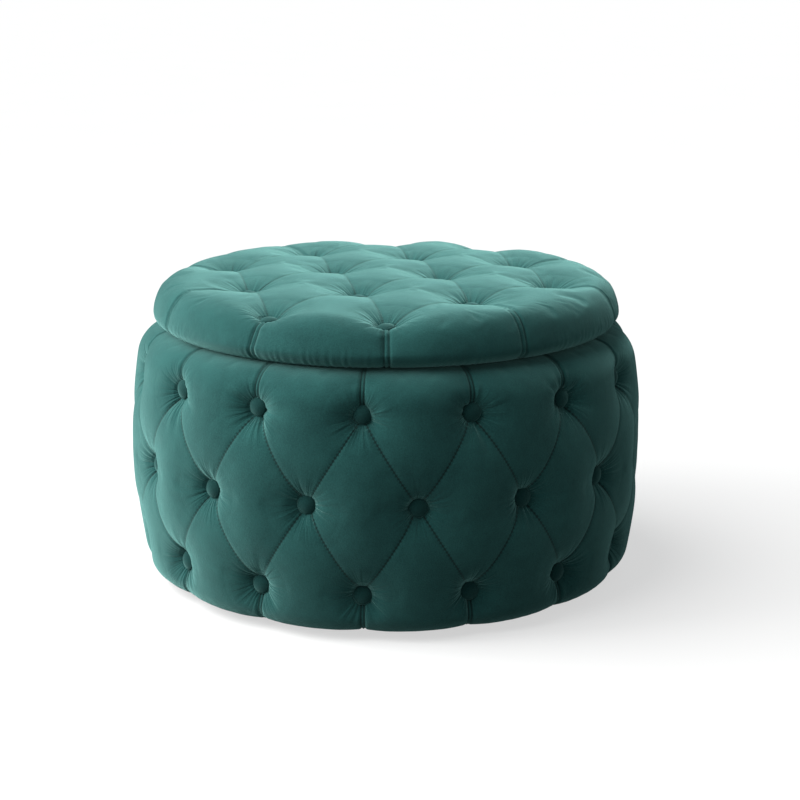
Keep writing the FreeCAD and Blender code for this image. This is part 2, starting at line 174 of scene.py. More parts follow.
nylon, tree = new_material("brown_nylon")
place = node(tree, "TexCoord").outputs["Object"]
scuffs = node(tree, "TexNoise", {"Scale": 1 / SCUFF, "Detail": 4.0, "Roughness": 0.65},
              {"Vector": place}).outputs[0]
shine = node(tree, "MapRange", {"To Min": 0.38, "To Max": 0.62}, {"Value": scuffs}).outputs[0]
finish_material(tree, {"IOR": 1.53},
                {"Base Color": mixed(tree, "#33271f", "#54463b", scuffs), "Roughness": shine})
paint(["glide_%d" % number for number in range(1, 5)], nylon)


# ------------------------------------------------------------------ twine and anchors
# Waxed polyester tufting twine from the back of every button, through the foam and the
# board to a flat moulded anchor. Two plies twist round each other, pale and slightly shiny.
PLY_TWIST = 0.0025

twine, tree = new_material("waxed_tufting_twine")
place = node(tree, "TexCoord").outputs["Object"]
plies = node(tree, "TexWave", {"bands_direction": "DIAGONAL", "Scale": 1 / (2 * PLY_TWIST)},
             {"Vector": place}).outputs[1]
relief = node(tree, "Bump", {"Strength": 0.5, "Distance": 0.0003}, {"Height": plies})
finish_material(tree, {"Roughness": 0.45},
                {"Base Color": mixed(tree, "#a99d82", "#d9cfb6", plies),
                 "Normal": relief.outputs[0]})
paint(["button_twines", "lid_twines"], twine)

anchor, tree = new_material("moulded_polypropylene")
place = node(tree, "TexCoord").outputs["Object"]
cloudy = node(tree, "TexNoise", {"Scale": 1 / SCUFF, "Detail": 2.0}, {"Vector": place}).outputs[0]
finish_material(tree, {"Roughness": 0.4, "IOR": 1.49},
                {"Base Color": mixed(tree, "#c9c8c2", "#dddcd6", cloudy)})
paint(["twine_anchors", "lid_twine_anchors"], anchor)


# ------------------------------------------------------------------ linings
# Charcoal plain-weave polyester, stapled and glued inside the wall, on the floor of the
# store and under the lid. Warp and weft cross as small raised squares with a dull gleam.
THREAD = 0.0016               # threads are drawn four times too coarse, so that they show
SLUB = 0.012                  # thicker and thinner stretches of yarn
BAND = 0.314                  # spacing of a wave texture's bands at a scale of 1
LINING_DARK = "#2c3032"
LINING_LIGHT = "#50565a"


def plain_weave(name, round_wall):
    """Woven cloth laid flat, or round a wall about +Z."""
    material, tree = new_material(name)
    place = node(tree, "TexCoord").outputs["Object"]
    if round_wall:
        split = node(tree, "SeparateXYZ", links={0: place}).outputs
        turn = node(tree, "Math", {"operation": "ARCTAN2"}, {0: split[1], 1: split[0]}).outputs[0]
        radius = centre_and_radius("wall_lining")[1]
        along = node(tree, "Math", {"operation": "MULTIPLY", 1: radius}, {0: turn}).outputs[0]
        place = node(tree, "CombineXYZ", links={0: along, 1: split[2]}).outputs[0]
    warp = node(tree, "TexWave", {"bands_direction": "X", "Scale": BAND / THREAD},
                {"Vector": place}).outputs[1]
    weft = node(tree, "TexWave", {"bands_direction": "Y", "Scale": BAND / THREAD},
                {"Vector": place}).outputs[1]
    crossing = node(tree, "Math", {"operation": "MULTIPLY"}, {0: warp, 1: weft}).outputs[0]
    slubs = node(tree, "TexNoise", {"Scale": 1 / SLUB, "Detail": 3.0}, {"Vector": place}).outputs[0]
    tone = node(tree, "Math", {"operation": "MULTIPLY_ADD", 1: 0.5},
                {0: crossing, 2: slubs}).outputs[0]
    relief = node(tree, "Bump", {"Strength": 0.4, "Distance": 0.0004}, {"Height": crossing})
    finish_material(tree, {"Roughness": 0.78, "Sheen Weight": 0.15},
                    {"Base Color": mixed(tree, LINING_DARK, LINING_LIGHT, tone),
                     "Normal": relief.outputs[0]})
    return material


def centre_and_radius(name):
    """Middle height and half width of a round CAD node."""
    low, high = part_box(name)
    return (low.z + high.z) / 2, (high.x - low.x + high.y - low.y) / 4


paint(["wall_lining"], plain_weave("charcoal_wall_lining", True))
paint(["floor_lining", "lid_lining"], plain_weave("charcoal_lining", False))


# ------------------------------------------------------------------ tufted cover of the body
# Teal velvet over thick foam. Each button is pulled in by its twine, the folds between
# the buttons are stitched, and a doubled pleat runs from each outer button to the edge.
# Cover and foam are one padded piece, closed round the wall skin that carries them.
FOOT_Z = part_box("body_cover")[0].z
RIM_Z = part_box("body_cover")[1].z
BASE_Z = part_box("base_panel")[0].z
RING_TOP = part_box("top_ring")[1].z
SKIN_RADIUS = centre_and_radius("wall_skin")[1]
HEM_STAND = 0.0025            # the hem in the mouth, inside the outer face of the lining
MOUTH_RADIUS = centre_and_radius("wall_lining")[1] - HEM_STAND
BODY_RADIUS = 0.325
BELLY_Z = 0.165               # height of the widest point
BELLY_ARC = 0.740             # radius of the long curve of the side
SHOULDER_ARC = 0.045
TOE_ARC = 0.030
MOUTH_ARC = 0.005
MOUTH_HEM = 0.030             # length of the hem inside the mouth
CLOTH = 0.0015
FIT = 0.0002                  # between the foam and the board behind it
TURN_IN = 0.060               # the cover reaches this far inside the wall skin, underneath
TURN_IN_RADIUS = SKIN_RADIUS - TURN_IN
ROWS = ["upper_row_buttons", "middle_row_buttons", "lower_row_buttons"]
ROW_Z = [centre_and_radius(row)[0] for row in ROWS]
BUTTONS_PER_ROW = 15
BUTTON_PHASE = math.radians(-5.2)
BUTTON_RADIUS = 0.012
BUTTON_BACK = 0.020           # back of a button below the padded surface
CELLS = 16                    # mesh cells from one row of buttons to the next
SIDE_BAND = 0.040             # the side lies within this distance of the widest point
FAR_AWAY = 9.0                # farther than any point of the cloth
ON_OUTLINE = 0.0004           # a point this near to the outline is on it
ON_SEAM = 0.0003              # and one this near to a seam is on the seam


def arc(centre, radius, start, end, count):
    """Points along an arc in the X-Z plane, after its first one, in degrees from +X."""
    angles = [math.radians(start + (end - start) * (k + 1) / count) for k in range(count)]
    return [(centre[0] + radius * math.cos(a), centre[1] + radius * math.sin(a)) for a in angles]


def run(start, end, count):
    """Points along a straight line, after its first one."""
    return [(start[0] + (end[0] - start[0]) * (k + 1) / count,
             start[1] + (end[1] - start[1]) * (k + 1) / count) for k in range(count)]


def belly(low, high, count):
    """Points on the long curve of the side between two heights, after the first one."""
    start, end = (math.degrees(math.asin((z - BELLY_Z) / BELLY_ARC)) for z in (low, high))
    return arc((BODY_RADIUS - BELLY_ARC, BELLY_Z), BELLY_ARC, start, end, count)


def body_outline():
    """Outline of the cover from its turned-in edge round to the hem in the mouth.

    The last number of each stretch is its count of mesh steps.
    """
    toe_rise = math.asin((FOOT_Z + TOE_ARC - BELLY_Z) / (BELLY_ARC - TOE_ARC))
    shoulder_rise = math.asin((RIM_Z - SHOULDER_ARC - BELLY_Z) / (BELLY_ARC - SHOULDER_ARC))
    toe_x = BODY_RADIUS - BELLY_ARC + (BELLY_ARC - TOE_ARC) * math.cos(toe_rise)
    shoulder_x = BODY_RADIUS - BELLY_ARC + (BELLY_ARC - SHOULDER_ARC) * math.cos(shoulder_rise)
    toe = (toe_x, FOOT_Z + TOE_ARC)
    shoulder = (shoulder_x, RIM_Z - SHOULDER_ARC)
    toe_top = toe[1] + TOE_ARC * math.sin(toe_rise)
    shoulder_low = shoulder[1] + SHOULDER_ARC * math.sin(shoulder_rise)
    upper, middle, lower = ROW_Z
    points = [(TURN_IN_RADIUS, FOOT_Z)]
    points += run(points[-1], (toe_x, FOOT_Z), 5)
    points += arc(toe, TOE_ARC, -90, math.degrees(toe_rise), 8)
    points += belly(toe_top, lower, 4)
    points += belly(lower, middle, CELLS)
    points += belly(middle, upper, CELLS)
    points += belly(upper, shoulder_low, 1)
    points += arc(shoulder, SHOULDER_ARC, math.degrees(shoulder_rise), 90, 11)
    points += run(points[-1], (MOUTH_RADIUS + MOUTH_ARC, RIM_Z), 5)
    points += arc((MOUTH_RADIUS + MOUTH_ARC, RIM_Z - MOUTH_ARC), MOUTH_ARC, 90, 180, 3)
    points += run(points[-1], (MOUTH_RADIUS, RIM_Z - MOUTH_HEM), 3)
    return points


def keep(name, made):
    """Puts a finished bmesh into the scene as a smooth object."""
    mesh = bpy.data.meshes.new(name)
    made.to_mesh(mesh)
    made.free()
    mesh.shade_smooth()
    piece = bpy.data.objects.new(name, mesh)
    bpy.context.scene.collection.objects.link(piece)
    return piece


def spun(name, outline, steps, start):
    """Closed outline turned about +Z into a solid, from an angle off the front towards +X."""
    made = bmesh.new()
    ring = [made.verts.new((r * math.sin(start), -r * math.cos(start), z)) for r, z in outline]
    edges = [made.edges.new(pair) for pair in zip(ring, ring[1:] + ring[:1])]
    bmesh.ops.spin(made, geom=ring + edges, cent=(0, 0, 0), axis=(0, 0, 1),
                   angle=2 * math.pi, steps=steps, use_merge=True)
    bmesh.ops.recalc_face_normals(made, faces=made.faces)
    return keep(name, made)


def points_of(piece):
    """Vertex positions as an array."""
    flat = np.zeros(len(piece.data.vertices) * 3)
    piece.data.vertices.foreach_get("co", flat)
    return flat.reshape(-1, 3)


def place_points(piece, points):
    """Moves a piece's vertices to new positions."""
    piece.data.vertices.foreach_set("co", points.ravel())
    piece.data.update()


def outline_places(points, outline):
    """Distance along the outline, and the outward direction, for each point of a round piece.

    Points off the outline, on the hidden inner faces, get a distance below zero.
    """
    line = np.array(outline)
    steps = np.diff(line, axis=0)
    lengths = np.linalg.norm(steps, axis=1)
    reach = np.concatenate([[0], np.cumsum(lengths)])
    outward = np.stack([steps[:, 1], -steps[:, 0]], axis=1) / lengths[:, None]
    corners = np.vstack([outward[:1], outward[:-1] + outward[1:], outward[-1:]])
    corners /= np.linalg.norm(corners, axis=1)[:, None]
    flat = np.stack([np.hypot(points[:, 0], points[:, 1]), points[:, 2]], axis=1)
    best = np.full(len(points), FAR_AWAY)
    along = np.full(len(points), -1.0)
    facing = np.zeros((len(points), 2))
    for k in range(len(steps)):
        share = np.clip((flat - line[k]) @ steps[k] / lengths[k] ** 2, 0, 1)
        away = np.linalg.norm(flat - line[k] - share[:, None] * steps[k], axis=1)
        nearer = away < best
        best[nearer] = away[nearer]
        along[nearer] = (reach[k] + share * lengths[k])[nearer]
        way = (1 - share)[:, None] * corners[k] + share[:, None] * corners[k + 1]
        facing[nearer] = way[nearer]
    along[best > ON_OUTLINE] = -1.0
    radius = np.maximum(flat[:, 0], 1e-9)
    out = np.stack([facing[:, 0] * points[:, 0] / radius,
                    facing[:, 0] * points[:, 1] / radius, facing[:, 1]], axis=1)
    out[along < 0] = 0
    return along, out


def reach_of(height, outline):
    """Distance along the outline to a height on the belly."""
    line = np.array(outline)
    reach = np.concatenate([[0], np.cumsum(np.linalg.norm(np.diff(line, axis=0), axis=1))])
    side = line[:, 0] > BODY_RADIUS - SIDE_BAND
    return float(np.interp(height, line[side, 1], reach[side]))


def to_lines(points, segments):
    """Distance from each point of the flat cloth to the nearest line, and how far along it."""
    best = np.full(len(points), FAR_AWAY)
    along = np.zeros(len(points))
    for start, end in segments:
        start = np.array(start)
        line = np.array(end) - start
        length = np.linalg.norm(line)
        share = np.clip((points - start) @ line / length ** 2, 0, 1)
        away = np.linalg.norm(points - start - share[:, None] * line, axis=1)
        nearer = away < best
        best[nearer] = away[nearer]
        along[nearer] = share[nearer] * length
    return best, along


def to_buttons(points, seats):
    """The nearest button to each point of the flat cloth: its distance, number and offset."""
    best = np.full(len(points), FAR_AWAY)
    which = np.zeros(len(points), int)
    for number, seat in enumerate(seats):
        away = np.linalg.norm(points - np.array(seat), axis=1)
        nearer = away < best
        best[nearer] = away[nearer]
        which[nearer] = number
    return best, which, points - np.array(seats)[which]


SWELL_FRAMES = 20             # frames of simulation, after which the cover lies still


def swell(piece, held, pressure, growth, most):
    """Cloth simulation of a cover over its foam: held points stay, the rest swells.

    The cloth may grow by a share, and no point moves farther than the most that is given.
    """
    start = points_of(piece)
    group = piece.vertex_groups.new(name="held")
    group.add([int(k) for k in np.nonzero(held)[0]], 1.0, "REPLACE")
    cloth = piece.modifiers.new("cloth", "CLOTH")
    fabric = cloth.settings
    fabric.quality = 5
    fabric.mass = 0.3
    fabric.tension_stiffness = 15
    fabric.compression_stiffness = 15
    fabric.shear_stiffness = 5
    fabric.bending_stiffness = 0.5
    fabric.vertex_group_mass = "held"
    fabric.use_pressure = True
    fabric.uniform_pressure_force = pressure
    fabric.shrink_min = -growth
    fabric.effector_weights.gravity = 0
    cloth.collision_settings.use_collision = False
    cloth.point_cache.frame_start = 1
    cloth.point_cache.frame_end = SWELL_FRAMES
    for number in range(1, SWELL_FRAMES + 1):
        bpy.context.scene.frame_set(number)
    shaped = piece.evaluated_get(bpy.context.evaluated_depsgraph_get())
    flat = np.zeros(len(shaped.data.vertices) * 3)
    shaped.data.vertices.foreach_get("co", flat)
    piece.modifiers.remove(cloth)
    piece.vertex_groups.remove(group)
    bpy.context.scene.frame_set(1)
    moved = flat.reshape(-1, 3) - start
    length = np.maximum(np.linalg.norm(moved, axis=1), 1e-9)
    moved *= (most * np.tanh(length / most) / length)[:, None]
    place_points(piece, start + moved)


def finer(piece, kind):
    """Divides every face of a piece in four, smoothly or as it lies."""
    divide = piece.modifiers.new("divide", "SUBSURF")
    divide.subdivision_type = kind
    divide.levels = 1
    divide.render_levels = 1
    shaped = piece.evaluated_get(bpy.context.evaluated_depsgraph_get())
    mesh = bpy.data.meshes.new_from_object(shaped)
    old = piece.data
    piece.modifiers.remove(divide)
    piece.data = mesh
    bpy.data.meshes.remove(old)


def crease_along(piece, away_seam):
    """Splits each face that a stitched fold crosses from corner to corner, along the fold.

    A piece that is still open is closed.
    """
    made = bmesh.new()
    made.from_mesh(piece.data)
    on_seam = away_seam < ON_SEAM
    for face in [face for face in made.faces if len(face.verts) == 4]:
        for a, b in ((0, 2), (1, 3)):
            if on_seam[face.verts[a].index] and on_seam[face.verts[b].index]:
                bmesh.utils.face_split(face, face.verts[a], face.verts[b])
                break
    open_edges = [edge for edge in made.edges if edge.is_boundary]
    if open_edges:
        bmesh.ops.contextual_create(made, geom=open_edges)
        bmesh.ops.recalc_face_normals(made, faces=made.faces)
    made.to_mesh(piece.data)
    made.free()


GATHER_COUNT = 15             # folds round each button
GATHER_HEIGHT = 0.0022
GATHER_WIDTHS = (0.0020, 0.0032)
GATHER_LENGTHS = (0.018, 0.050)
GATHER_SPREAD = 0.06          # a fold widens by this share of its distance from the button
GATHER_START = 0.009          # folds rise from here, hidden under the button's rim
GATHER_RISE = 0.005


def gathers(away, which, offset, strength, seed):
    """Small folds of cloth that run out from each button, a few of them long."""
    chance = np.random.default_rng(seed)
    turn = np.arctan2(offset[:, 1], offset[:, 0])
    count = len(strength)
    relief = np.zeros(len(away))
    for fold in range(GATHER_COUNT):
        heading = fold * 2 * math.pi / GATHER_COUNT + chance.uniform(-0.2, 0.2, count)
        length = chance.uniform(*GATHER_LENGTHS, count)
        height = chance.uniform(-1.0, 0.6, count) * GATHER_HEIGHT
        width = chance.uniform(*GATHER_WIDTHS, count)
        off = (turn - heading[which] + math.pi) % (2 * math.pi) - math.pi
        across = off * away / (width[which] + GATHER_SPREAD * away)
        reach = (away - BUTTON_RADIUS) / length[which]
        fade = np.clip(1 - reach, 0, 1) ** 1.5
        fade *= np.clip((away - GATHER_START) / GATHER_RISE, 0, 1)
        relief += height[which] * np.exp(-across ** 2) * fade * (np.abs(off) < 1.2)
    return relief * strength[which]


def puckers(turn, seed):
    """Uneven small folds side by side round an edge, between -1 and 1.

    Each whole number is a count of waves in one turn, so that the ends meet.
    """
    chance = np.random.default_rng(seed)
    fine = sum(np.sin(turn * n + chance.uniform(0, 6.28)) for n in (151, 187, 223, 269)) / 4
    broad = sum(np.sin(turn * n + chance.uniform(0, 6.28)) for n in (5, 9, 14)) / 3
    return fine * np.clip(0.5 + broad, 0, 1)


def mark(piece, name, values):
    """Stores numbers, or three of them, for each point of a piece, for its material."""
    kind = "FLOAT" if values.ndim == 1 else "FLOAT_VECTOR"
    layer = piece.data.attributes.new(name, kind, "POINT")
    layer.data.foreach_set("value" if values.ndim == 1 else "vector",
                           values.astype(np.float32).ravel())


def twin_of(piece):
    """An unchanged copy of a piece, to read its flat pattern from later."""
    twin = bpy.data.objects.new(piece.name + "_undented", piece.data.copy())
    bpy.context.scene.collection.objects.link(twin)
    return twin


outline = body_outline()
inside = [(MOUTH_RADIUS + CLOTH, RIM_Z - MOUTH_HEM), (MOUTH_RADIUS + CLOTH, RING_TOP),
          (SKIN_RADIUS + FIT, RING_TOP), (SKIN_RADIUS + FIT, BASE_Z),
          (TURN_IN_RADIUS, BASE_Z)]
body_cover = spun("velvet_body_cover", outline + inside, BUTTONS_PER_ROW * 2 * CELLS, BUTTON_PHASE)

COLUMN = 2 * math.pi * BODY_RADIUS / BUTTONS_PER_ROW
UPPER, MIDDLE, LOWER = [reach_of(z, outline) for z in ROW_Z]
PLEAT = COLUMN / (4 * CELLS)  # half the width of a doubled pleat, one column of the fine mesh
PLEAT_UP = 0.095              # length of the pleats up to the rim, and down to the floor
PLEAT_DOWN = 0.085
body_seats = []
body_seams = []
body_tucks = []
body_pleats = []
for number in range(-1, BUTTONS_PER_ROW + 2):  # past the join, so that folds cross it
    x = number * COLUMN
    body_seats += [(x, UPPER), (x + COLUMN / 2, MIDDLE), (x, LOWER)]
    for corner in ((x, UPPER), (x + COLUMN, UPPER), (x, LOWER), (x + COLUMN, LOWER)):
        body_seams.append(((x + COLUMN / 2, MIDDLE), corner))
    body_tucks += [((x, UPPER), (x, UPPER + PLEAT_UP)), ((x, LOWER), (x, LOWER - PLEAT_DOWN))]
    for shift in (-PLEAT, PLEAT):
        body_pleats += [((x + shift, UPPER), (x + shift, UPPER + PLEAT_UP)),
                        ((x + shift, LOWER), (x + shift, LOWER - PLEAT_DOWN))]


def body_pattern(piece):
    """Where each point of the undented cover lies on the flat cloth, and its outward direction."""
    points = points_of(piece)
    along, out = outline_places(points, outline)
    turn = (np.arctan2(points[:, 0], -points[:, 1]) - BUTTON_PHASE) % (2 * math.pi)
    return np.stack([turn * BODY_RADIUS, along], axis=1), out


PIT_DEPTH = 0.0185            # of the cloth under a button, below the padded surface
PIT_FLOOR = 0.010             # radius of the flat floor of a pit
BODY_PIT_WIDTH = 0.0160       # distance over which a pit fades out
BODY_FOLD_DEPTH = 0.0022
FOLD_CREASE = 0.005           # width of a fold's sharp middle, and of its soft shoulders
FOLD_SHOULDER = 0.020
FADE = 0.030                  # stretch over which the tufting dies away at toe and rim


def dip(away_button, away_fold, pit_width, fold_depth):
    """How deep the foam is pulled in by the buttons and by the folds between them.

    A fold is three parts sharp crease to seven parts soft shoulder.
    """
    pit = PIT_DEPTH * np.exp(-np.maximum(away_button - PIT_FLOOR, 0) / pit_width)
    crease = 0.3 * np.exp(-away_fold / FOLD_CREASE)
    return pit + fold_depth * (crease + 0.7 * np.exp(-(away_fold / FOLD_SHOULDER) ** 2))


FREE_BELOW = 0.055            # the cover swells between these distances from the outer rows
FREE_ABOVE = 0.075
BODY_STITCHED = 0.0008        # cloth this near to a fold is held by its stitches
BODY_PRESSURE = 2.0
BODY_GROWTH = 0.003
BODY_SWELL = 0.003
ROW_PULL = [1.8, 0.9, 0.8]    # strength of the gathers in the upper, middle and lower row
SEAM_GROOVE = 0.0008
SEAM_WIDTH = 0.0015
BODY_PLEAT_GROOVE = 0.0028
PLEAT_WIDTH = 0.0016
PLEAT_FADE = 0.100

undented = twin_of(body_cover)
cloth_place, out = body_pattern(undented)
reach = cloth_place[:, 1]
away_button = to_buttons(cloth_place, body_seats)[0]
away_fold = to_lines(cloth_place, body_seams + body_tucks)[0]
sunk = dip(away_button, away_fold, BODY_PIT_WIDTH, BODY_FOLD_DEPTH)
sunk *= np.clip((reach - FADE) / FADE, 0, 1)
sunk *= np.clip((UPPER + PLEAT_UP - reach) / FADE, 0, 1)
place_points(body_cover, points_of(body_cover) - out * sunk[:, None])
free = (reach > LOWER - FREE_BELOW) & (reach < UPPER + FREE_ABOVE)
free &= (away_button > BUTTON_RADIUS) & (away_fold > BODY_STITCHED)
swell(body_cover, ~free, BODY_PRESSURE, BODY_GROWTH, BODY_SWELL)
finer(body_cover, "CATMULL_CLARK")
finer(undented, "SIMPLE")
cloth_place, out = body_pattern(undented)
bpy.data.objects.remove(undented)
away_button, which, offset = to_buttons(cloth_place, body_seats)
which %= 3 * BUTTONS_PER_ROW
away_seam, along_seam = to_lines(cloth_place, body_seams)
away_pleat, along_pleat = to_lines(cloth_place, body_pleats)
crease_along(body_cover, away_seam)
relief = gathers(away_button, which, offset, np.array(ROW_PULL * BUTTONS_PER_ROW), 7)
relief -= SEAM_GROOVE * np.exp(-away_seam / SEAM_WIDTH)
pleated = BODY_PLEAT_GROOVE * np.exp(-(away_pleat / PLEAT_WIDTH) ** 2)
relief -= pleated * np.clip(1.2 - along_pleat / PLEAT_FADE, 0, 1)
place_points(body_cover, points_of(body_cover) + out * relief[:, None])
mark(body_cover, "away_seam", away_seam)
mark(body_cover, "along_seam", along_seam)
mark(body_cover, "away_pleat", away_pleat)
mark(body_cover, "away_button", away_button)
mark(body_cover, "from_button", np.column_stack([offset, which]))

# Velvet is a dense short pile of polyester, cut and brushed. It is dark where it is looked
# into and pale where light grazes its tips, so the colour is deep and the sheen is strong.
# Brushed patches lean differently and read a little lighter or darker. The creases of the
# stitched folds and pleats carry painted shade, a dark line that widens at each needle hole,
# and fine creases run out from under the buttons.
PILE_DARK = "#143f3e"
PILE_LIGHT = "#235552"
PILE_TIP = "#9cdcd5"
# Colour of the painted shade along the creases of the stitched folds and pleats. HOLE_WIDTHS and
# PLEAT_SHADE give the widths of this painted shade.
FOLD_PAINTED_SHADE = "#061817"
PATCH = 0.060                 # a brushed patch
BRUSHED = 0.014               # streaks within a patch
TUFT = 0.0015                 # clumps of pile, drawn coarser than single tufts so they show
STITCH = 0.0045               # length of one stitch, drawn a little too long so that it shows
HOLE_WIDTHS = (0.0010, 0.0028)  # dark line between two needle holes, and at a hole
PLEAT_SHADE = 0.0018          # half width of the dark line along a pleat
CREASE_COUNT = 5.0            # fineness of the creases round a button
CREASE_START = 0.009          # the creases rise from here to full height, and fade to an end
CREASE_FULL = 0.016
CREASE_END = 0.045

velvet, tree = new_material("cut_pile_velvet")
place = node(tree, "TexCoord").outputs["Object"]
patches = node(tree, "TexNoise", {"Scale": 1 / PATCH, "Detail": 2.0, "Distortion": 1.0},
               {"Vector": place}).outputs[0]
streaks = node(tree, "TexNoise", {"Scale": 1 / BRUSHED, "Detail": 3.0},
               {"Vector": place}).outputs[0]
tufts = node(tree, "TexNoise", {"Scale": 1 / TUFT, "Detail": 2.0, "Roughness": 0.7},
             {"Vector": place}).outputs[0]
brushed = node(tree, "Mix", {0: 0.35}, {2: patches, 3: streaks}).outputs[0]
lean = node(tree, "Mix", {0: 0.50}, {2: brushed, 3: tufts}).outputs[0]
lean = node(tree, "MapRange", {"From Min": 0.36, "From Max": 0.64}, {"Value": lean}).outputs[0]
pile = mixed(tree, PILE_DARK, PILE_LIGHT, lean)
seam = node(tree, "Attribute", {"attribute_name": "away_seam"}).outputs["Fac"]
pleat = node(tree, "Attribute", {"attribute_name": "away_pleat"}).outputs["Fac"]
along = node(tree, "Attribute", {"attribute_name": "along_seam"}).outputs["Fac"]
beat = node(tree, "Math", {"operation": "MULTIPLY", 1: 2 * math.pi / STITCH},
            {0: along}).outputs[0]
wave = node(tree, "Math", {"operation": "SINE"}, {0: beat}).outputs[0]
hole_width = node(tree, "MapRange", {"From Min": -0.3, "From Max": 0.3,
                                     "To Min": HOLE_WIDTHS[0], "To Max": HOLE_WIDTHS[1]},
                  {"Value": wave}).outputs[0]
# Painted shade: along each stitched fold and each pleat the pile is darkened to the crease colour,
# in a line that widens at every needle hole.
in_seam = node(tree, "Math", {"operation": "DIVIDE"}, {0: seam, 1: hole_width}).outputs[0]
in_pleat = node(tree, "Math", {"operation": "DIVIDE", 1: PLEAT_SHADE}, {0: pleat}).outputs[0]
outside_crease_shade = node(tree, "Math", {"operation": "MINIMUM", "use_clamp": True},
                  {0: in_seam, 1: in_pleat}).outputs[0]
pile_with_crease_shade = node(tree, "Mix", {"data_type": "RGBA", 6: linear(FOLD_PAINTED_SHADE)},
                {0: outside_crease_shade, 7: pile}).outputs[2]
local = node(tree, "Attribute", {"attribute_name": "from_button"}).outputs["Vector"]
flat = node(tree, "VectorMath", {"operation": "MULTIPLY", 1: (1, 1, 0)}, {0: local}).outputs[0]
away = node(tree, "Attribute", {"attribute_name": "away_button"}).outputs["Fac"]
heading = node(tree, "VectorMath", {"operation": "NORMALIZE"}, {0: flat}).outputs[0]
seat = node(tree, "VectorMath", {"operation": "MULTIPLY", 1: (0, 0, 1)}, {0: local}).outputs[0]
spoke = node(tree, "VectorMath", {"operation": "ADD"}, {0: heading, 1: seat}).outputs[0]
creases = node(tree, "TexNoise", {"Scale": CREASE_COUNT, "Detail": 2.0},
               {"Vector": spoke}).outputs[0]
near = node(tree, "MapRange", {"From Min": BUTTON_RADIUS, "From Max": CREASE_END, "To Min": 1.0,
                               "To Max": 0.0}, {"Value": away}).outputs[0]
far = node(tree, "MapRange", {"From Min": CREASE_START, "From Max": CREASE_FULL},
           {"Value": away}).outputs[0]
creased = node(tree, "Math", {"operation": "MULTIPLY"}, {0: near, 1: far}).outputs[0]
creased = node(tree, "Math", {"operation": "MULTIPLY"}, {0: creased, 1: creases}).outputs[0]
wrinkled = node(tree, "Bump", {"Strength": 1.0, "Distance": 0.0042}, {"Height": creased})
napped = node(tree, "Bump", {"Strength": 0.55, "Distance": 0.0007},
              {"Height": tufts, "Normal": wrinkled.outputs[0]})
surface = finish_material(tree, {"Roughness": 0.95, "Specular IOR Level": 0.1,
                                 "Sheen Weight": 0.9,
                                 "Sheen Roughness": 0.50, "Sheen Tint": linear(PILE_TIP)},
                          {"Base Color": pile_with_crease_shade, "Normal": napped.outputs[0]})
body_cover.data.materials.append(velvet)
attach(body_cover, "body")
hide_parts("body_cover", "wall_padding", "rim_padding")


# ------------------------------------------------------------------ buttons of the body
# Three rows of fifteen covered buttons: a domed steel shell with a round of the same
# velvet tucked in behind its rim. No two sit quite straight on their twine.
BUTTON_HEIGHT = 0.007
BUTTON_EDGE = 0.0025          # height of the rounded rim, where the cloth turns under
BUTTON_SIDES = 36
BUTTON_TILT = 5               # most that a button leans, in degrees
BUTTON_STAND = (-0.0004, 0.0008)  # and how much deeper or prouder it sits
NO_SEAM = 0.1                 # distance marked on a piece that has no seams
# Pile colours and sheen of the buttons' copy of the velvet, darker than the cover's: painted shade.
SHADED_BUTTON_DARK = "#0d3130"
SHADED_BUTTON_LIGHT = "#194240"
SHADED_BUTTON_SHEEN = 0.55

# A darker copy of the velvet with weaker sheen, for the buttons: its colour is painted shade,
# standing in for the shade of the pits they sit in.
shaded_button_velvet = velvet.copy()
shaded_button_velvet.name = "velvet_with_painted_shade"
button_pile = shaded_button_velvet.node_tree.nodes[pile.node.name].inputs
button_pile[6].default_value = linear(SHADED_BUTTON_DARK)
button_pile[7].default_value = linear(SHADED_BUTTON_LIGHT)
button_surface = shaded_button_velvet.node_tree.nodes[surface.name].inputs
button_surface["Sheen Weight"].default_value = SHADED_BUTTON_SHEEN


